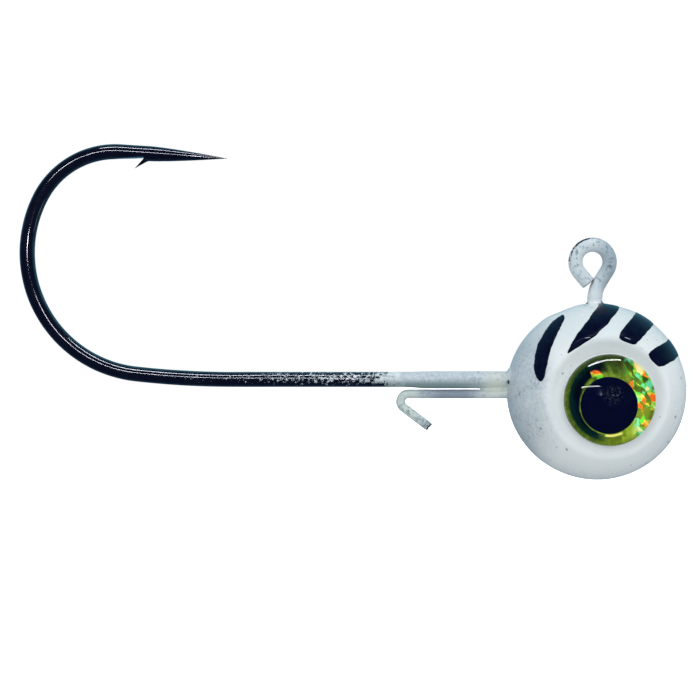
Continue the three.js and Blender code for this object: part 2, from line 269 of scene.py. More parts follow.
class Nodes:
    """Short names for the nodes of one tree. A value is a number or another node's socket."""

    def __init__(self, tree):
        self.tree = tree

    def node(self, kind, inputs=None, **settings):
        made = self.tree.nodes.new(kind)
        for key, value in settings.items():
            setattr(made, key, value)
        for key, value in (inputs or {}).items():
            self.set(made.inputs[key], value)
        return made

    def set(self, socket, value):
        if isinstance(value, bpy.types.NodeSocket):
            self.tree.links.new(value, socket)
        else:
            socket.default_value = value

    def math(self, operation, a, b=0.0, clamp=False):
        made = self.node("ShaderNodeMath", {0: a, 1: b}, operation=operation, use_clamp=clamp)
        return made.outputs[0]

    def product(self, *factors):
        result = factors[0]
        for factor in factors[1:]:
            result = self.math("MULTIPLY", result, factor)
        return result

    def vector(self, operation, *inputs, output="Vector"):
        made = self.node("ShaderNodeVectorMath", dict(enumerate(inputs)), operation=operation)
        return made.outputs[output]

    def ramp(self, value, low, high, start=0.0, end=1.0, smooth=True):
        """Runs from start to end while value goes from low to high."""
        ends = {"From Min": low, "From Max": high, "To Min": start, "To Max": end}
        kind = "SMOOTHSTEP" if smooth else "LINEAR"
        made = self.node("ShaderNodeMapRange", {"Value": value, **ends}, interpolation_type=kind)
        return made.outputs[0]

    def span(self, value, low, high, start=0.0, end=1.0, smooth=True):
        """A ramp over a length whose ends are given in millimetres."""
        return self.ramp(value, low * MM, high * MM, start, end, smooth)

    def mix(self, share, a, b):
        """From colour a to colour b. A colour is a socket or its red, green and blue."""
        made = self.node("ShaderNodeMix", {0: share}, data_type="RGBA")
        for index, colour in ((6, a), (7, b)):
            self.set(made.inputs[index], (*colour, 1) if isinstance(colour, tuple) else colour)
        return made.outputs[2]


class Shader(Nodes):
    """A material with one Principled BSDF. Its places are the object's own, in metres."""

    def __init__(self, name, **constants):
        self.material = bpy.data.materials.new(name)
        self.material.use_nodes = True
        super().__init__(self.material.node_tree)
        self.surface = self.tree.nodes["Principled BSDF"]
        for socket, value in constants.items():
            self.feed(socket.replace("_", " "), value)
        self.place = self.node("ShaderNodeTexCoord").outputs["Object"]
        self.axes = self.node("ShaderNodeSeparateXYZ", {0: self.place}).outputs

    def feed(self, socket, value):
        self.set(self.surface.inputs[socket], value)

    def noise(self, size, detail=2.0, roughness=0.5, output="Fac"):
        """Noise from 0 to 1 with features of about the given size in millimetres."""
        scale = NOISE_FEATURE / (size * MM)
        inputs = {"Vector": self.place, "Scale": scale, "Detail": detail, "Roughness": roughness}
        return self.node("ShaderNodeTexNoise", inputs).outputs[output]

    def near(self, centre, reach):
        """1 at a point in millimetres, down to 0 at the given reach."""
        away = self.vector("DISTANCE", self.place, Vector(centre) * MM, output="Value")
        return self.span(away, 0, reach, 1.0, 0.0)

    def bump(self, height, distance, strength):
        """Bump from a height of 0 to 1 that stands for the given distance in millimetres."""
        inputs = {"Height": height, "Distance": distance * MM, "Strength": strength}
        normal = self.surface.inputs["Normal"]
        if normal.is_linked:
            inputs["Normal"] = normal.links[0].from_socket
        self.feed("Normal", self.node("ShaderNodeBump", inputs).outputs["Normal"])


# ---------------------------------------------------------------- materials

WHITE = (0.7, 0.735, 0.735)
MOTTLED_WHITE = (0.61, 0.66, 0.67)
THIN_SHADED_WHITE = (0.46, 0.53, 0.57)
CROWN_GREY = (0.58, 0.65, 0.655)
GREY_SPECK = (0.25, 0.31, 0.35)
CREAM = (0.63, 0.67, 0.56)
NICKEL = (0.12, 0.125, 0.15)
BLACK_PAINT = (0.0012, 0.003, 0.016)

KEEPER_ONLY = (SHANK_Z - 0.6, SHANK_Z - 0.66)  # below this height is the keeper, not the shank

# Dark flaws in the enamel: place, reach and depth from 0 to 1.
FLECKS = (
    ((-0.55, -0.2, -2.92), 0.34, 0.8),
    ((0.57, -0.3, -2.88), 0.24, 1.0),
    ((-4.13, -3.57, -11.28), 0.16, 0.35),
    ((-5.8, -0.52, -8.28), 0.28, 0.8),
)


def greyer_crown(s, colour):
    """The ball is a little greyer over the crown."""
    z = s.axes["Z"]
    on_ball = s.span(z, -2.86, -3.0)
    crown = s.product(s.span(z, HEAD[2] + 2.2, HEAD[2] + 4.4, 0, 0.8), on_ball)
    return s.mix(crown, colour, CROWN_GREY)


def thin_shaded_back(s, colour, speckle):
    """The back of the ball got less paint: the grey shows through as fine speckle. The back's darker
    tint is partly that thin paint and partly painted shade, and painted shade darkens its lower part
    further.
    """
    x, z = s.axes["X"], s.axes["Z"]
    wandering = s.math("ADD", x, s.product(s.noise(2.0, 3.0), 2.4 * MM))
    back = s.span(wandering, HEAD[0] - 1.9, HEAD[0] - 4.2)
    patch = s.ramp(s.noise(1.3, 2.0, 0.5), 0.22, 0.6, 0.3, 1.0)
    thin = s.product(speckle, patch, back)
    # Partly thin paint, partly painted shade: the back is darker.
    colour = s.mix(s.product(back, 0.86), colour, THIN_SHADED_WHITE)
    colour = s.mix(s.product(thin, 0.9), colour, GREY_SPECK)
    # Painted shade: the lower part of the back is darker still.
    low = s.product(back, s.span(z, HEAD[2] - 0.5, HEAD[2] - 3.5, 0, 0.3))
    return s.mix(low, colour, (0.3, 0.35, 0.37)), thin


def shank_shade(s, colour):
    """Painted shade: the painted shank's lower half is a darker grey green."""
    x, z = s.axes["X"], s.axes["Z"]
    lower_half = s.span(z, SHANK_Z + 0.12, SHANK_Z - 0.4)
    towards_bend = s.span(x, -5.9, -10, 0.35, 0.95)
    off_head = s.span(x, HEAD[0] - 6.0, HEAD[0] - 6.3)
    above_keeper = s.span(z, SHANK_Z - 0.62, SHANK_Z - 0.58)
    under = s.product(lower_half, towards_bend, off_head, above_keeper)
    return s.mix(under, colour, (0.16, 0.23, 0.24))


def keeper_shade(s, colour):
    """Painted shade darkens the keeper where it lies in the shank's shadow, and its bend has a creamy
    coat.
    """
    x, z = s.axes["X"], s.axes["Z"]
    stretch = s.product(s.span(x, -7.2, -9.0), s.span(x, -12.2, -10.2, 0.3, 1.0))
    above_tail = s.span(z, SHANK_Z - 1.6, SHANK_Z - 1.3)
    # Painted shadow of the shank on the keeper.
    shaded = s.product(s.span(z, *KEEPER_ONLY), stretch, above_tail)
    colour = s.mix(s.product(shaded, 0.92), colour, (0.2, 0.24, 0.29))
    bend = s.product(s.span(x, -11.6, -12.4), s.span(z, *KEEPER_ONLY))
    return s.mix(s.product(bend, 0.6), colour, (0.52, 0.6, 0.53))


def scuffs(s, colour):
    """A few dark pinholes on the wires and the head, and scuffs on the keeper's tail."""
    x, z = s.axes["X"], s.axes["Z"]
    pinhole = s.ramp(s.noise(0.3, 1.0, 0.4), 0.74, 0.79)
    colour = s.mix(s.product(pinhole, 0.6), colour, (0.12, 0.15, 0.17))
    tail = s.product(s.span(x, -10.9, -11.4), s.span(z, SHANK_Z - 1.35, SHANK_Z - 1.6))
    scuffed = s.product(tail, s.ramp(s.noise(0.16, 3.0, 0.65), 0.5, 0.62))
    return s.mix(s.product(scuffed, 0.6), colour, (0.2, 0.25, 0.26))


def pooled_root(s, colour):
    """The paint pooled where the keeper leaves the head is creamy."""
    root = s.near((-6.7, 0, SHANK_Z - 0.4), 1.6)
    return s.mix(s.product(root, 0.8), colour, CREAM)


def worn_line_eye(s, colour):
    """The stem and the ring are greyer, with specks round the ring's middle, a bruise, and an
    outer edge worn to the nickel."""
    x, z = s.axes["X"], s.axes["Z"]
    in_side_view = s.vector("MULTIPLY", s.place, (1, 0, 1))
    out = s.vector("LENGTH", in_side_view, output="Value")
    ring = s.product(s.span(z, -2.3, -1.6), s.span(x, 4, 2.4))
    ring_right = s.product(ring, s.span(x, -0.1, 1.1, 0.16, 0.95))
    stem = s.span(z, -2.86, -2.7)
    colour = s.mix(s.product(stem, 0.4), colour, (0.42, 0.52, 0.6))
    colour = s.mix(ring_right, colour, (0.3, 0.37, 0.42))
    middle = s.product(s.span(out, 0.85, 1.1), s.span(out, 1.6, 1.35))
    bruise = s.product(s.near((0.95, 0, -0.2), 1.15), s.ramp(s.noise(0.32, 3.0, 0.6), 0.5, 0.66))
    bruise = s.math("MULTIPLY", s.product(bruise, middle), 1.1, clamp=True)
    colour = s.mix(bruise, colour, (0.06, 0.09, 0.11))
    dots = s.product(s.ramp(s.noise(0.18, 2.0, 0.6), 0.53, 0.66), middle, ring)
    colour = s.mix(s.product(dots, 0.75), colour, (0.12, 0.17, 0.19))
    worn_side = s.product(s.near((-1.1, 0, 1.2), 2.2), s.ramp(s.noise(0.35, 3.0), 0.45, 0.54))
    worn_side = s.math("MULTIPLY", worn_side, 2.0, clamp=True)
    worn = s.product(worn_side, s.span(out, 1.53, 1.57))
    return s.mix(worn, colour, (0.015, 0.02, 0.03))


def flecked(s, colour):
    """The dark flaws, and the torn paint at the keeper's cut end."""
    for place, reach, depth in FLECKS:
        fleck = s.math("MULTIPLY", s.near(place, reach), 2 * depth, clamp=True)
        colour = s.mix(fleck, colour, (0.02, 0.03, 0.06))
    torn = s.product(s.near((-11.45, 0, -11.35), 0.75), s.ramp(s.noise(0.1, 2.0, 0.6), 0.45, 0.58))
    return s.mix(s.product(torn, 0.9), colour, (0.1, 0.12, 0.13))


def white_enamel():
    """Gloss enamel: mottled, thin and speckled at the back of the head, with painted shade on the
    back's lower part, on the shank's lower half and on the keeper below the shank.
    """
    s = Shader("white_enamel", Coat_Weight=0.04, Coat_Roughness=0.05, Specular_IOR_Level=0.1)
    mottle = s.ramp(s.noise(1.6, 4.0, 0.6), 0.35, 0.7)
    speckle = s.ramp(s.noise(0.16, 4.0, 0.75), 0.4, 0.68)
    colour = s.mix(s.product(mottle, 0.3), WHITE, MOTTLED_WHITE)
    colour = greyer_crown(s, colour)
    colour, thin = thin_shaded_back(s, colour, speckle)
    for layer in (shank_shade, keeper_shade, scuffs, pooled_root, worn_line_eye, flecked):
        colour = layer(s, colour)
    s.feed("Base Color", colour)
    s.feed("Roughness", s.math("ADD", s.product(thin, 0.25), s.ramp(mottle, 0, 1, 0.22, 0.32)))
    s.bump(s.noise(0.9, 3.0, 0.55), 0.03, 0.6)
    s.bump(speckle, 0.01, 0.5)
    return s.material


# Painted highlights on the black strokes: places, and how steeply each runs, in degrees.
PAINTED_GLINTS = (
    ((-1.25, -4.85, -5.27), -8),
    ((-1.95, -4.75, -6.05), -30),
    ((1.35, -4.9, -5.3), 22),
)


def black_enamel():
    """Blue-black gloss enamel, with short painted highlights near the feet of two strokes."""
    s = Shader("black_enamel", Coat_Weight=0.02, Coat_Roughness=0.04, Specular_IOR_Level=0.08)
    streak = s.noise(0.5, 3.0, 0.6)
    colour = s.mix(s.ramp(streak, 0.4, 0.75), BLACK_PAINT, (0.0028, 0.006, 0.024))
    longer_than_wide = 10
    for place, lean in PAINTED_GLINTS:
        line = {"Location": Vector(place) * MM, "Rotation": (0, math.radians(lean), 0)}
        line["Vector"] = s.place
        along = s.node("ShaderNodeMapping", line, vector_type="TEXTURE").outputs[0]
        along = s.vector("MULTIPLY", along, (1, 1, longer_than_wide))
        away = s.vector("LENGTH", along, output="Value")
        # Each is a painted highlight: a pale line ten times longer than wide.
        glint = s.product(s.span(away, 0.34, 0.22), s.ramp(s.noise(0.12, 2.0), 0.34, 0.5))
        colour = s.mix(glint, colour, (0.34, 0.4, 0.45))
    s.feed("Base Color", colour)
    s.feed("Roughness", s.ramp(streak, 0.3, 0.7, 0.14, 0.28))
    s.bump(streak, 0.012, 0.5)
    return s.material


def spray_cover(s):
    """How closely the specks of paint lie on the hook, from 0 to 1."""
    x, z = s.axes["X"], s.axes["Z"]
    cover = s.span(x, -29, -20.5, 0.28, 0.56, smooth=False)
    cover = s.math("ADD", cover, s.span(x, -20.5, -15, 0, 0.1, smooth=False))
    cover = s.math("ADD", cover, s.span(x, -15.1, -12.9, 0, 0.42))
    under = s.span(z, SHANK_Z + 0.15, SHANK_Z - 0.35, 0, 0.13)
    cover = s.math("SUBTRACT", cover, under)
    off_middle = s.math("ABSOLUTE", s.math("SUBTRACT", z, SHANK_Z * MM))
    edges = s.product(s.span(off_middle, 0.26, 0.48), s.span(x, -14.2, -15.4, 0, 0.1))
    cover = s.math("SUBTRACT", cover, edges)
    return s.product(cover, s.span(x, -34, -29, 0.15, 1.0), s.span(z, 0, -4))


def hook_finish():
    """Black nickel, under a spray of paint specks that close up towards the head."""
    s = Shader("hook_finish", Specular_IOR_Level=0.5)
    grain = s.noise(0.15, 4.0, 0.7)
    edge = s.math("SUBTRACT", 0.8, s.product(spray_cover(s), 0.52))
    speck = s.math("MULTIPLY", s.math("SUBTRACT", grain, edge), 14.0, clamp=True)
    tone = s.ramp(s.noise(0.5, 3.0), 0.3, 0.7)
    paint = s.mix(tone, (0.4, 0.47, 0.5), (0.62, 0.68, 0.7))
    shade = s.span(s.axes["Z"], SHANK_Z + 0.12, SHANK_Z - 0.4, 0, 0.9)
    paint = s.mix(shade, paint, (0.2, 0.28, 0.29))
    metal = s.mix(s.ramp(s.noise(0.8, 2.0), 0.35, 0.7), NICKEL, (0.17, 0.175, 0.19))
    s.feed("Base Color", s.mix(speck, metal, paint))
    s.feed("Metallic", s.math("SUBTRACT", 1.0, speck))
    s.feed("Roughness", s.ramp(speck, 0, 1, 0.09, 0.36))
    s.bump(speck, 0.03, 0.8)
    s.bump(s.noise(0.5, 2.0, 0.5), 0.005, 0.5)
    return s.material


def keeper_steel():
    s = Shader("keeper_steel", Metallic=1.0)
    s.feed("Base Color", s.mix(s.noise(0.2, 3.0), (0.16, 0.18, 0.19), (0.55, 0.58, 0.6)))
    s.feed("Roughness", s.ramp(s.noise(0.1, 3.0), 0.3, 0.7, 0.25, 0.5))
    s.bump(s.noise(0.12, 2.0), 0.04, 0.7)
    return s.material


def cast_lead():
    s = Shader("cast_lead", Metallic=1.0)
    s.feed("Base Color", s.mix(s.noise(1.2, 4.0), (0.2, 0.21, 0.23), (0.38, 0.39, 0.41)))
    s.feed("Roughness", s.ramp(s.noise(0.5, 3.0), 0.3, 0.7, 0.45, 0.65))
    s.bump(s.noise(0.4, 4.0), 0.03, 0.6)
    return s.material


def clear_glue():
    s = Shader("clear_glue", Roughness=0.2, Transmission_Weight=0.1, IOR=1.48, Specular_IOR_Level=0.3)
    s.feed("Base Color", s.mix(s.noise(0.8, 2.0), (0.8, 0.83, 0.82), (0.7, 0.74, 0.72)))
    s.bump(s.noise(0.5, 2.0), 0.02, 0.5)
    return s.material


def clear_resin():
    s = Shader("clear_resin", Transmission_Weight=1.0, IOR=1.5)
    s.feed("Base Color", s.mix(s.noise(2.5, 1.0), (0.97, 0.99, 0.93), (0.93, 0.97, 0.88)))
    s.feed("Roughness", s.ramp(s.noise(0.6, 2.0), 0.6, 0.8, 0.0, 0.03))
    s.bump(s.noise(1.4, 2.0), 0.012, 0.5)
    return s.material


class EyeDisc:
    """Places on the eye's disc in its side view, in millimetres from the disc's centre."""

    def __init__(self, s):
        self.s = s
        self.across = s.math("SUBTRACT", s.axes["X"], EYE_X * MM)
        self.up = s.math("SUBTRACT", s.axes["Z"], EYE_Z * MM)

    def away_from(self, x, z):
        """The distance from a place."""
        s = self.s
        dx = s.math("SUBTRACT", self.across, x * MM)
        dz = s.math("SUBTRACT", self.up, z * MM)
        return s.math("SQRT", s.math("ADD", s.product(dx, dx), s.product(dz, dz)))

    def towards(self, degrees):
        """From -1 to 1 across the disc in a direction."""
        s = self.s
        turn = math.radians(degrees)
        right = s.product(self.across, math.cos(turn))
        upward = s.product(self.up, math.sin(turn))
        return s.math("DIVIDE", s.math("ADD", right, upward), EYE_RADIUS * MM)


def shard_cells(s):
    """Slanting flakes with wandering edges: a random colour for each."""
    drift = s.noise(0.7, 2.0, output="Color")
    drift = s.vector("SUBTRACT", drift, (0.5, 0.5, 0.5))
    drift = s.vector("MULTIPLY", drift, (0.9 * MM,) * 3)
    warped = s.vector("ADD", s.place, drift)
    flake = {"Vector": warped, "Rotation": (0, math.radians(-38), 0), "Scale": (0.42, 1, 1.5)}
    flake = s.node("ShaderNodeMapping", flake, vector_type="TEXTURE").outputs[0]
    flake_size = 0.78
    cells = s.node("ShaderNodeTexVoronoi", {"Vector": flake, "Scale": 1 / (flake_size * MM)})
    return cells.outputs["Color"]


def shard_colour(s, parts, flash):
    """Red, yellow, green and mint from one shard to the next, with pale painted highlights."""
    hue = s.math("ADD", s.noise(0.45, 2.0), s.product(parts.outputs[1], 0.34))
    wheel = s.mix(s.ramp(hue, 0.55, 0.62), (1.0, 0.16, 0.015), (0.8, 0.66, 0.06))
    wheel = s.mix(s.ramp(hue, 0.62, 0.67), wheel, (0.12, 0.62, 0.04))
    wheel = s.mix(s.ramp(hue, 0.74, 0.82), wheel, (0.16, 0.8, 0.42))
    return s.mix(s.ramp(flash, 0.82, 0.92, 0, 0.8), wheel, (0.95, 0.9, 0.4))


def holographic_foil():
    """Yellow-green foil, with painted shade on the left and at the top, painted light at the lower
    right, and coloured shards on the right that are painted reflections.
    """
    s = Shader("holographic_foil", Metallic=0.5, Roughness=0.22, Specular_IOR_Level=0.0)
    disc = EyeDisc(s)
    radius = disc.away_from(0, 0)
    from_pupil = disc.away_from(PUPIL_X, PUPIL_Z)
    tone = s.ramp(s.noise(0.3, 4.0, 0.65), 0.34, 0.66)
    colour = s.mix(tone, (0.1, 0.175, 0.014), (0.29, 0.44, 0.035))
    # Painted shade at the top, and painted light at the lower right.
    colour = s.mix(s.ramp(disc.towards(95), 0.3, 0.8, 0, 0.75), colour, (0.05, 0.1, 0.025))
    colour = s.mix(s.ramp(disc.towards(-45), 0.3, 0.75, 0, 0.8), colour, (0.36, 0.5, 0.03))
    # Painted shade: the dark crescent round the left side, and the bright line that it leaves by the
    # pupil.
    band = s.product(s.span(radius, 1.6, 1.85), s.span(radius, 2.68, 2.45))
    off_pupil = s.span(from_pupil, PUPIL_RADIUS + 0.03, PUPIL_RADIUS + 0.1)
    crescent = s.product(band, off_pupil, s.ramp(disc.towards(178), -0.02, 0.26))
    shade = s.mix(s.span(radius, 2.0, 2.55), (0.0005, 0.003, 0.014), (0.002, 0.036, 0.03))
    colour = s.mix(crescent, colour, shade)
    # Shards, whose colour and light change from one to the next and along each. They are painted
    # reflections, on the right and in a patch at the upper left.
    cell = shard_cells(s)
    parts = s.node("ShaderNodeSeparateColor", {0: cell})
    flash = s.math("ADD", s.noise(0.5, 2.0, 0.5), s.product(parts.outputs[0], 0.34))
    shards = shard_colour(s, parts, flash)
    right = s.product(s.ramp(disc.towards(8), 0.3, 0.55), s.span(radius, 2.97, 2.8))
    patch = s.span(disc.away_from(-0.9, 1.35), 0.52, 0.38)
    lit = s.product(s.ramp(flash, 0.6, 0.68), s.math("MAXIMUM", right, patch))
    # A painted gold highlight along the pupil's lower edge.
    gold = s.product(s.span(from_pupil, PUPIL_RADIUS + 0.02, PUPIL_RADIUS + 0.08),
                     s.span(from_pupil, PUPIL_RADIUS + 0.26, PUPIL_RADIUS + 0.17),
                     s.span(disc.away_from(0.25, -2.2), 0.65, 0.45))
    shards = s.mix(gold, shards, (0.95, 0.82, 0.22))
    lit = s.math("MAXIMUM", lit, gold)
    colour = s.mix(lit, colour, shards)
    s.feed("Base Color", colour)
    # The shards and the gold highlight glow: painted light.
    s.feed("Emission Color", colour)
    s.feed("Emission Strength", s.product(lit, 0.45))
    # Each shard leans its own way.
    tilt = s.vector("SUBTRACT", cell, (0.5, 0.5, 0.5))
    tilt = s.vector("MULTIPLY", tilt, (0.2,) * 3)
    normal = s.node("ShaderNodeNewGeometry").outputs["Normal"]
    s.feed("Normal", s.vector("NORMALIZE", s.vector("ADD", normal, tilt)))
    return s.material


def pupil_ink():
    s = Shader("pupil_ink", Roughness=0.6, Specular_IOR_Level=0.0)
    ink = s.mix(s.noise(0.4, 2.0), (0.001, 0.002, 0.022), (0.002, 0.004, 0.03))
    # A pale patch near the pupil's middle: painted light from a scuff on the dome above.
    scuffed_highlight = s.product(s.near((0.42, -4.42, -9.05), 0.75), s.ramp(s.noise(0.1, 3.0, 0.6), 0.5, 0.64))
    s.feed("Base Color", s.mix(s.product(scuffed_highlight, 0.6), ink, (0.16, 0.18, 0.17)))
    return s.material


# ---------------------------------------------------------------- hook


def hook_piece(material):
    path = hook_path()
    length = path[-1, 3]
    behind = length - path[:, 3]
    share = np.clip(behind / POINT_LENGTH, 0, 1)
    taper = np.maximum(1 - (1 - share) ** POINT_CURVE, POINT_TIP)
    uneven = 1 + waver(along_wire(path), 0.012, 2.5)
    # The barb's cut leaves a flat on the inner side, deepest at the barb's root.
    root, run_out, deepest = 5.74, 7.9, 0.24

    def cut(u, v, i):
        if root <= behind[i] <= run_out:
            floor = HOOK_WIRE - deepest * (1 - (behind[i] - root) / (run_out - root))
            u = np.maximum(u, -floor)
        return u, v

    radius = HOOK_WIRE * taper * uneven * drawn_down(path[:, 3])
    grids = [tube_rows(path, radius, shape=cut), barb_rows(path)]
    add_piece("hook_wire", grids, material, "hook")


def barb_rows(path):
    """The barb: a sliver with a round outer face and a flat inner one, thinning to its tip."""
    tip_x, tip_z, heading, _ = path[-1]
    forward = np.array([math.cos(heading), 0, math.sin(heading)])
    down = np.array([math.sin(heading), 0, -math.cos(heading)])
    start = np.array([tip_x, 0, tip_z])
    # Distance back from the hook's tip, and distance below its middle.
    outer = [(4.9, 0.30), (5.25, 0.46), (5.55, 0.6), (5.9, 0.82), (6.28, 1.07)]
    inner = [(5.1, 0.12), (5.45, 0.2), (5.72, 0.38), (5.98, 0.68), (6.30, 1.06)]
    half_width = [0.3, 0.28, 0.22, 0.14, 0.012]
    crowning = 0.75  # how much lower the outer face is at its sides
    knots = range(len(outer))
    steps = 20
    rows = []
    for i in range(steps + 1):
        t = i / steps * (len(outer) - 1)
        out = [np.interp(t, knots, [p[k] for p in outer]) for k in (0, 1)]
        back = [np.interp(t, knots, [p[k] for p in inner]) for k in (0, 1)]
        width = np.interp(t, knots, half_width)
        ring = []
        for side in np.linspace(-1, 1, 11):
            rise = 1 - crowning * side * side
            place = [b + rise * (o - b) for o, b in zip(out, back)]
            across = np.array([0, side * width, 0])
            ring.append(start - place[0] * forward + place[1] * down + across)
        for side in np.linspace(0.8, -0.8, 7):
            across = np.array([0, side * width, 0])
            ring.append(start - back[0] * forward + back[1] * down + across)
        rows.append(ring)
    return np.array(rows)


# ---------------------------------------------------------------- keeper


def keeper_piece(material):
    path = keeper_path(KEEPER_BARE_END)
    rows = tube_rows(path, KEEPER_WIRE, sides=28)
    # The clipped end is torn a little.
    end = rows[-1]
    heading = path[-1, 2]
    tear = waver(end, 0.22, 0.3, seed=3.0)
    rows[-1] = end + tear[:, None] * np.array([math.cos(heading), 0, math.sin(heading)])
    add_piece("keeper_wire", [rows], material, "bait_keeper")


# ---------------------------------------------------------------- painted head


def soft_min(a, b, width):
    h = np.maximum(width - np.abs(a - b), 0) / width
    return np.minimum(a, b) - h * h * width / 4


def head_height(x, z):
    """Half-width of the painted head at a place in its side view, from the head's centre."""
    ball = np.sqrt(np.maximum(HEAD_RADIUS**2 - x * x - z * z, 0))
    away = np.hypot(x - SOCKET_X, z - SOCKET_Z)
    rise = SOCKET_SLOPE * (away - SOCKET_FLAT)
    foot = (np.clip(rise, -FOOT_ROUNDING, FOOT_ROUNDING) + FOOT_ROUNDING) ** 2 / (4 * FOOT_ROUNDING)
    wall = np.where(rise > FOOT_ROUNDING, rise, foot)
    return soft_min(ball, SOCKET_SEAT + wall, RIDGE_ROUNDING)


def on_head(x, z, side):
    """The point of the painted skin at a place in the side view."""
    return np.stack([x, side * head_height(x, z), z], axis=-1)


FLATS = ((21.9, 0.1), (-12.0, 0.085))  # lean to the back in degrees, and depth
FLAT_ROUNDING = 0.05


def finish_skin(points):
    """Presses the crown's two flats and the paint's unevenness into points of the ball, given
    from its centre."""
    radius = np.linalg.norm(points, axis=-1, keepdims=True)
    out = points / radius
    for lean, depth in FLATS:
        turn = math.radians(lean)
        facing = out @ np.array([-math.sin(turn), 0, math.cos(turn)])
        facing = np.maximum(facing, 0.2)[..., None]
        radius = soft_min(radius, (HEAD_RADIUS - depth) / facing, FLAT_ROUNDING)
    ball = out * HEAD_RADIUS
    flowing = np.array([waver(row, 0.02, 2.2) + waver(row, 0.006, 0.7, 4.0) for row in ball])
    return out * (radius + flowing[..., None])


def head_rows():
    """Rings from the middle of one eye socket, over the ball, to the middle of the other."""
    sides = 220
    around = np.linspace(0, 2 * math.pi, sides, endpoint=False)
    # Degrees from the middle of the socket: close together at its wall and its ridge.
    seat, wall, ball = np.linspace(2, 30, 12), np.linspace(31.5, 45, 22), np.linspace(47, 90, 30)
    reach = np.concatenate([seat, wall, ball])
    rows = []
    for degrees in reach:
        ring = HEAD_RADIUS * math.sin(math.radians(degrees))
        # The rings start round the socket's centre and end round the ball's.
        off = 1 - np.clip((degrees - 50) / 30, 0, 1)
        off = off * off * (3 - 2 * off)
        x = SOCKET_X * off + ring * np.cos(around)
        z = SOCKET_Z * off + ring * np.sin(around)
        rows.append(np.stack([x, -head_height(x, z), z], axis=-1))
    other = [row * np.array([1, -1, 1]) for row in reversed(rows[:-1])]
    return finish_skin(np.array(rows + other)) + HEAD


STEM_FILLET = 0.12
SHANK_FILLET = 0.16
SUNK = 0.35  # how far the wires' paint runs on into the ball


def flare(above, reach):
    """Extra radius of a wire's paint at a height above the skin, as a hollow fillet."""
    furthest_in = 0.12
    above = np.clip(above, -furthest_in, reach)
    fillet = reach - np.sqrt(reach**2 - (reach - above) ** 2 * (above > 0))
    return np.where(above > 0, fillet, reach - above)


def stem_rows():
    """Paint on the line eye and the stem, down into the ball."""
    path = line_eye_path([run(STEM_LENGTH * 0.45)], extra_end=-0.04)
    skin_z = HEAD[2] + HEAD_RADIUS - 0.02
    on_stem = path[:, 1] < STEM_TOP_Z
    far_off = 9.0
    above = np.where(on_stem, path[:, 1] - skin_z, far_off)
    radius = (HOOK_WIRE + WIRE_PAINT) * drawn_down(path[:, 3])
    radius = radius + np.where(above < STEM_FILLET, flare(above, STEM_FILLET), 0)
    radius = radius * (1 + waver(along_wire(path), 0.025, 1.1, 2.0))
    keep = above > -SUNK
    rows = tube_rows(path[keep], radius[keep])
    return round_first_ring(rows, 0.06)


def round_first_ring(rows, inset):
    """Adds a smaller ring in front of the first, so that a coat's end isn't a sharp step."""
    middle = rows[0].mean(axis=0)
    reach = np.linalg.norm(rows[0] - middle, axis=-1).mean()
    small = middle + (rows[0] - middle) * (1 - inset / reach)
    return np.concatenate([[small], rows])


def shank_rows():
    """Paint on the shank, thinning to nothing where the specks take over."""
    path = wire_path(SLEEVE_START, SHANK_Z, 0, [run(8.4)], step=0.06)
    skin_x = HEAD[0] - math.sqrt(HEAD_RADIUS**2 - (SHANK_Z - HEAD[2]) ** 2)
    above = skin_x - path[:, 0]
    paint = WIRE_PAINT * np.clip((path[:, 0] - SLEEVE_START) / 2.0, 0, 1) - 0.004
    radius = HOOK_WIRE + paint + np.where(above < SHANK_FILLET, flare(above, SHANK_FILLET), 0)
    place = np.stack([path[:, 0], 0 * above, 0 * above], axis=1)
    radius = radius + waver(place, 0.012, 0.8, 5.0)
    keep = above > -SUNK
    path, radius = path[keep], radius[keep]
    most_sag = 0.12
    sagged = most_sag * np.clip((path[:, 0] - SLEEVE_START) / 1.2, 0, 1)

    def sag(u, v, i):
        return np.where(u < 0, u * (1 + sagged[i]), u), v

    return tube_rows(path, radius, shape=sag)


def keeper_coat_rows():
    """Paint on the keeper, from inside the ball to just short of its cut end."""
    path = keeper_path(-KEEPER_BARE_END)
    in_head = path[:, 0] > HEAD[0] - HEAD_RADIUS + 0.4
    path = path[~in_head]
    radius = KEEPER_WIRE + KEEPER_PAINT + waver(along_wire(path), 0.016, 0.7, 9.0)
    return tube_rows(path, radius, sides=28)


def web_rows():
    """The paint that fills the corner between shank and keeper at the head."""
    start = -7.8
    end = HEAD[0] - HEAD_RADIUS + 0.5
    middle = SHANK_Z - 0.5 * KEEPER_DROP - 0.06
    angle = np.linspace(0, 2 * math.pi, 28, endpoint=False)
    wide, high = np.cos(angle), np.sin(angle)
    squareness = 0.7  # 1 is an ellipse, and less is squarer
    rows = []
    for t in np.linspace(0.02, 1, 24):
        x = start + t * (end - start)
        grown = math.sqrt(1 - (1 - min(t / 0.5, 1)) ** 2)
        half_high = 0.34 + 0.22 * t
        half_wide = (0.2 + 0.16 * t) * grown
        y = half_wide * np.sign(wide) * np.abs(wide) ** squareness
        z = middle + half_high * np.sign(high) * np.abs(high) ** squareness
        rows.append(np.stack([np.full_like(y, x), y, z], axis=-1))
    return np.array(rows)


def coat_piece(material):
    grids = [head_rows(), stem_rows(), shank_rows(), keeper_coat_rows(), web_rows()]
    add_piece("painted_skin", grids, material, "white_coat")


# ---------------------------------------------------------------- brush strokes

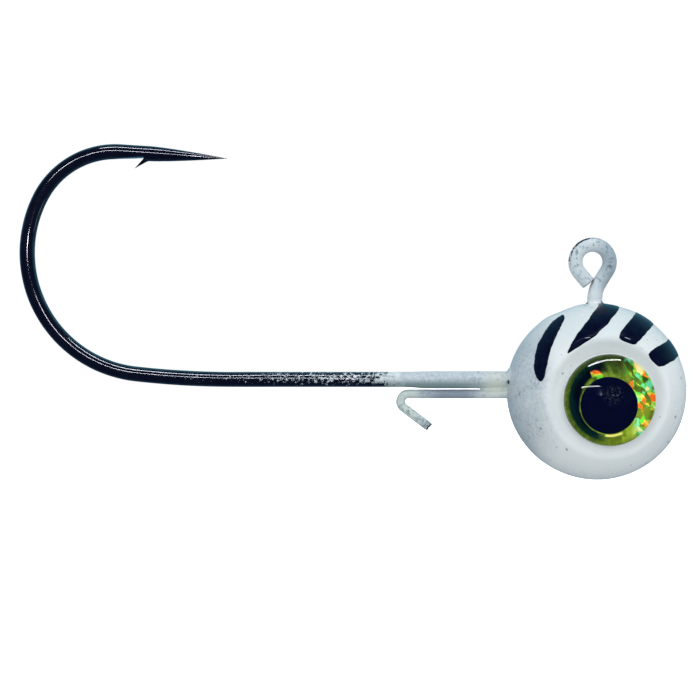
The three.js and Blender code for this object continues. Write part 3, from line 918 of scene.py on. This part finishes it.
# Each stroke's middle line in the side view, from the head's centre: its foot, the point that
# bends it, and its end. foot_share and end_share say how much of it is rounded off.
STROKES = {
    "rear": dict(
        foot=(-4.4, 0.8), bend=(-4.55, 3.2), end=(-2.5, 5.2), width=0.76, foot_share=0.3, end_share=0.6,
    ),
    "crown": dict(foot=(-2.65, 2.6), bend=(-1.15, 4.35), end=(1.6, 6.65), width=1.05, foot_share=0.8),
    "brow": dict(foot=(0.92, 3.2), bend=(1.65, 4.3), end=(4.1, 5.6), width=1.25, foot_share=0.2),
    "nose": dict(foot=(2.45, 2.05), bend=(3.5, 2.5), end=(6.0, 3.4), width=1.28, foot_share=0.38),
}
LEAST_WIDTH = 0.05  # share of its width that a stroke keeps at its ends
FOOT_RAG = 1.6  # how much more ragged the edge is near the foot


def rounded(share):
    """From 0 to 1 along a quarter circle."""
    return math.sqrt(1 - max(1 - share, 0) ** 2)


def stroke_edges(seed, foot, bend, end, width, foot_share, end_share=0):
    """Left and right edge of a stroke in the side view, from foot to end, with a ragged line."""
    foot, bend, end = (np.array(p) for p in (foot, bend, end))
    steps = 120
    left, right = [], []
    for i in range(steps + 1):
        t = i / steps
        centre = (1 - t) ** 2 * foot + 2 * t * (1 - t) * bend + t * t * end
        along = 2 * (1 - t) * (bend - foot) + 2 * t * (end - bend)
        along = along / np.linalg.norm(along)
        normal = np.array([-along[1], along[0]])
        grow = rounded(t / foot_share)
        fade = rounded((1 - t) / end_share) if end_share else 1
        half = 0.5 * width * max(grow * fade, LEAST_WIDTH)
        rag = FOOT_RAG if t < 0.25 else 1.0
        for edge, sign, shift in ((left, 1, 0.0), (right, -1, 20.0)):
            wander = 0.05 * noise.noise(Vector((t * 9, seed, shift)))
            ragged = rag * 0.025 * noise.noise(Vector((t * 45, seed, shift + 5)))
            edge.append(centre + normal * sign * (half + wander + ragged))
    return np.array(left), np.array(right)


def clip_to_ball(edge):
    """Ends an edge line exactly on the silhouette of the ball."""
    reach = np.hypot(edge[:, 0], edge[:, 1])
    outside = np.nonzero(reach > HEAD_RADIUS)[0]
    if not len(outside):
        return edge
    last = outside[0]
    a, b = edge[last - 1], edge[last]
    share = (HEAD_RADIUS - reach[last - 1]) / (reach[last] - reach[last - 1])
    return np.concatenate([edge[:last], [a + share * (b - a)]])


ACROSS = np.linspace(0, 1, 15)  # places across a stroke, from its left edge to its right
STROKE_EDGE = 0.012  # thickness at the edges
STROKE_BODY = 0.035  # and this much more in the middle
STROKE_SUNK = 0.03  # depth of its underside below the skin


def resample(line, count):
    steps = np.concatenate([[0], np.cumsum(np.linalg.norm(np.diff(line, axis=0), axis=1))])
    places = np.linspace(0, steps[-1], count)
    return np.stack([np.interp(places, steps, line[:, k]) for k in range(line.shape[1])], axis=1)


def stroke_strip(name, side, seed):
    """A stroke's surface on one side of the head, in rows across it from the foot on."""
    count = 90  # of rows
    left, right = stroke_edges(seed, **STROKES[name])
    left, right = (resample(clip_to_ball(edge), count) for edge in (left, right))
    left, right = (on_head(edge[:, 0], edge[:, 1], side) for edge in (left, right))
    strip = left[:, None] + (right - left)[:, None] * ACROSS[None, :, None]
    out = strip / np.linalg.norm(strip, axis=-1, keepdims=True)
    place = out * HEAD_RADIUS
    skin = on_head(place[..., 0], place[..., 2], side)
    near_middle = np.abs(out[..., 1:2]) <= 0.5
    return np.where(near_middle, place, skin)


def stroke_piece(name, label, sides, material):
    """A layer of paint over the skin. A stroke on both sides runs over the crown as one piece."""
    seed = 3.0 + 7 * list(STROKES).index(name)
    # A strip on the left side runs up from its foot, and one on the right down to it.
    first, *second = [stroke_strip(name, side, seed + side)[::side] for side in sides]
    strip = finish_skin(np.concatenate([first, *(strip[1:] for strip in second)]))
    out = strip / np.linalg.norm(strip, axis=-1, keepdims=True)
    edge_round = np.sqrt(np.clip(1 - np.abs(2 * ACROSS - 1) ** 4, 0, 1))
    row = np.arange(len(strip))
    from_end = np.minimum(row, row[::-1])
    end_round = np.sqrt(np.clip(1 - (1 - np.clip(from_end / 3, 0, 1)) ** 2, 0, 1))
    thick = STROKE_EDGE + STROKE_BODY * edge_round[None, :] * end_round[:, None]
    top = strip + out * thick[..., None] + HEAD
    under = strip - out * STROKE_SUNK + HEAD
    rings = np.concatenate([top, under[:, ::-1]], axis=1)
    add_piece(f"stroke_{label}_paint", [rings], material, f"stroke_{label}")


# ---------------------------------------------------------------- eyes


AXIS = 0.01  # a turned body's innermost ring, closed by its cap


def turned(profile, side, x=0.0, z=0.0):
    """Rings of a body turned round the y axis through the eye, from radius and distance out."""
    sides = 96
    around = np.linspace(0, 2 * math.pi, sides, endpoint=False)
    rings = []
    for r, y in profile:
        ring_x = EYE_X + x + r * np.cos(around)
        ring_z = EYE_Z + z + r * np.sin(around)
        rings.append(np.stack([ring_x, np.full(sides, side * y), ring_z], axis=-1))
    return np.array(rings)


def levels(node):
    """Nearest and furthest distance of an eye node from the middle plane."""
    low, high = corners(node)
    return sorted(abs(v) for v in (low[1], high[1]))


def glue_bead(label, side, material):
    """The glue under the foil, squeezed out a little past its edge and uneven there."""
    node = f"eye_glue_{label}"
    low, high = levels(node)
    foil_low, _ = levels(f"eye_foil_{label}")
    bead = [(AXIS, low), (EYE_RADIUS + 0.08, low)]
    for degrees in range(0, 91, 10):
        turn = math.radians(degrees)
        bead.append((EYE_RADIUS + 0.1 - 0.09 * math.sin(turn), high - 0.09 * math.cos(turn)))
    bead.append((EYE_RADIUS + 0.005, high - 0.12))
    bead += [(EYE_RADIUS, foil_low - 0.005), (AXIS, foil_low - 0.005)]
    rings = turned(bead, side)
    out = rings - np.array([EYE_X, 0, EYE_Z])
    swell = np.array([1 + waver(ring, 0.012, 1.3, 6.0 + side) for ring in out])
    swell = np.maximum(swell, 0.996)
    rings[..., 0] = EYE_X + out[..., 0] * swell
    rings[..., 2] = EYE_Z + out[..., 2] * swell
    add_piece(f"glue_bead_{label}", [rings], material, node)


def foil_disc(label, side, material):
    node = f"eye_foil_{label}"
    low, high = levels(node)
    rim = 0.02
    foil = [(AXIS, low), (EYE_RADIUS - rim, low), (EYE_RADIUS, low + rim)]
    foil += [(EYE_RADIUS, high - rim), (EYE_RADIUS - rim, high)]
    foil += [(r, high) for r in np.linspace(EYE_RADIUS - 0.2, AXIS, 14)]
    add_piece(f"foil_disc_{label}", [turned(foil, side)], material, node)


def pupil_print(label, side, material):
    node = f"eye_pupil_{label}"
    low, high = levels(node)
    rim = 0.01
    ink = [(AXIS, low), (PUPIL_RADIUS - rim, low), (PUPIL_RADIUS, low + 0.006)]
    ink += [(PUPIL_RADIUS - rim, high), (AXIS, high)]
    rings = turned(ink, side, x=PUPIL_X, z=PUPIL_Z)
    add_piece(f"pupil_print_{label}", [rings], material, node)


def resin_dome(label, side, material):
    """A drop of resin that wets the foil: a spherical cap that bends down to a soft rim."""
    node = f"eye_lens_{label}"
    low, high = levels(node)
    foil_low, _ = levels(f"eye_foil_{label}")
    base = foil_low - 0.015
    rim = EYE_RADIUS + 0.02
    cap_rise = 1.15
    cap = (rim**2 + cap_rise**2) / (2 * cap_rise)
    shoulder = 0.94 * rim
    lean = math.asin(shoulder / cap)
    shoulder_y = high - cap * (1 - math.cos(lean))
    bend_y = shoulder_y - (rim - shoulder) * math.tan(lean)
    foot_y = low + 0.03
    profile = [(AXIS, base), (rim - 0.01, base), (rim, base + 0.02)]
    for t in np.linspace(0, 1, 10):
        r = rim - (rim - shoulder) * t * t
        profile.append((r, (1 - t) ** 2 * foot_y + 2 * t * (1 - t) * bend_y + t * t * shoulder_y))
    for share in np.linspace(0.97, 0.003, 28):
        tilt = lean * share
        profile.append((cap * math.sin(tilt), high - cap * (1 - math.cos(tilt))))
    add_piece(f"resin_dome_{label}", [turned(profile, side)], material, node)


# ---------------------------------------------------------------- stage, light and camera


def stage():
    """A pale floor far under the hanging jig. It neither lights the jig nor shows in it."""
    mesh = bpy.data.meshes.new("floor")
    half, depth = 4.0, -0.14  # metres
    corner_points = [(x * half, y * half, depth) for x, y in ((-1, -1), (1, -1), (1, 1), (-1, 1))]
    mesh.from_pydata(corner_points, [], [(0, 1, 2, 3)])
    floor = bpy.data.objects.new("floor", mesh)
    bpy.context.scene.collection.objects.link(floor)
    glow = {"Emission_Color": (1, 1, 1, 1), "Emission_Strength": 0.9}
    s = Shader("pale_floor", Roughness=0.9, **glow)
    s.feed("Base Color", s.mix(s.noise(200.0), (0.9, 0.9, 0.9), (0.88, 0.89, 0.9)))
    mesh.materials.append(s.material)
    floor.visible_diffuse = False
    floor.visible_glossy = False
    floor.visible_transmission = False


def surround():
    """White to the camera, and soft grey to matt surfaces. Mirrors see a dark blue room with a
    teal glow behind the jig."""
    world = bpy.data.worlds.new("surround")
    world.use_nodes = True
    bpy.context.scene.world = world
    nodes = Nodes(world.node_tree)
    nodes.tree.nodes.remove(nodes.tree.nodes["Background"])
    ray = nodes.node("ShaderNodeLightPath").outputs
    way = nodes.node("ShaderNodeTexCoord").outputs["Generated"]
    way = nodes.node("ShaderNodeSeparateXYZ", {0: way}).outputs

    def background(colour):
        return nodes.node("ShaderNodeBackground", {"Color": colour}).outputs[0]

    def either(share, first, second):
        return nodes.node("ShaderNodeMixShader", {0: share, 1: first, 2: second}).outputs[0]

    lit = nodes.mix(nodes.ramp(way["Z"], -0.6, 0.8), (0.73, 0.77, 0.79), (0.77, 0.81, 0.86))
    behind = nodes.mix(nodes.ramp(way["Z"], -0.4, 0.4), (0.05, 0.13, 0.22), (0.12, 0.42, 0.56))
    mirrored = nodes.mix(nodes.ramp(way["Y"], -0.2, 0.7), (0.022, 0.032, 0.085), behind)
    seen = nodes.mix(nodes.ramp(way["Z"], -1, 1), (1, 1, 1), (1.02, 1.02, 1.02))
    lit, mirrored, seen = (background(colour) for colour in (lit, mirrored, seen))
    room = either(ray["Is Glossy Ray"], lit, mirrored)
    room = either(ray["Is Transmission Ray"], room, lit)
    room = either(ray["Is Camera Ray"], room, seen)
    nodes.set(nodes.tree.nodes["World Output"].inputs["Surface"], room)


LIT_PLACE = (-18, 0, HEAD[2] + 3)


def strip_light(name, place, size, power, colour):
    """A rectangular light at a place in millimetres, long along X and facing the jig's middle."""
    data = bpy.data.lights.new(name, "AREA")
    data.shape = "RECTANGLE"
    data.size, data.size_y = size[0] * MM, size[1] * MM
    data.energy = power
    data.color = colour
    lamp = bpy.data.objects.new(name, data)
    bpy.context.scene.collection.objects.link(lamp)
    lamp.location = Vector(place) * MM
    away = Vector(place) - Vector(LIT_PLACE)
    lamp.rotation_euler = away.to_track_quat("Z", "Y").to_euler()
    return lamp


def lights():
    strip_light("overhead", (4, -105, 250), (256, 15), 0.22, (0.97, 0.98, 1.0))
    strip_light("front_left", (-34, -64, 18), (42, 2.2), 0.0055, (1.0, 0.98, 0.96))
    strip_light("by_the_lens", (CAMERA_X, -96, 6), (4, 5), 0.003, (1.0, 0.93, 0.95))
    fill = strip_light("front_fill", (95, -320, 15), (300, 300), 0.25, (0.97, 0.98, 1.0))
    fill.visible_glossy = False


def camera():
    """Level and square to the jig's right side, as close as a macro lens works."""
    distance = 88.0
    view_width = 47.7
    data = bpy.data.cameras.new("camera")
    data.sensor_width = 36
    data.lens = data.sensor_width * distance / view_width
    data.clip_start = 0.001
    data.clip_end = 20
    view = bpy.data.objects.new("camera", data)
    bpy.context.scene.collection.objects.link(view)
    view.location = Vector((CAMERA_X, -distance, CAMERA_Z)) * MM
    view.rotation_euler = (math.pi / 2, 0, 0)
    bpy.context.scene.camera = view


# ---------------------------------------------------------------- the jig

lead_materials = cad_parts["lead_head"].data.materials
lead_materials.clear()
lead_materials.append(cast_lead())

hook_piece(hook_finish())
keeper_piece(keeper_steel())
coat_piece(white_enamel())

black = black_enamel()
stroke_piece("rear", "rear_right", [-1], black)
stroke_piece("rear", "rear_left", [1], black)
for stroke_name in ("crown", "brow", "nose"):
    stroke_piece(stroke_name, stroke_name, [1, -1], black)

eye_layers = (
    (glue_bead, clear_glue()),
    (foil_disc, holographic_foil()),
    (pupil_print, pupil_ink()),
    (resin_dome, clear_resin()),
)
for eye_label, eye_side in (("right", -1), ("left", 1)):
    for add_layer, layer_material in eye_layers:
        add_layer(eye_label, eye_side, layer_material)

stage()
surround()
lights()
camera()
bpy.context.scene.view_settings.view_transform = "Standard"
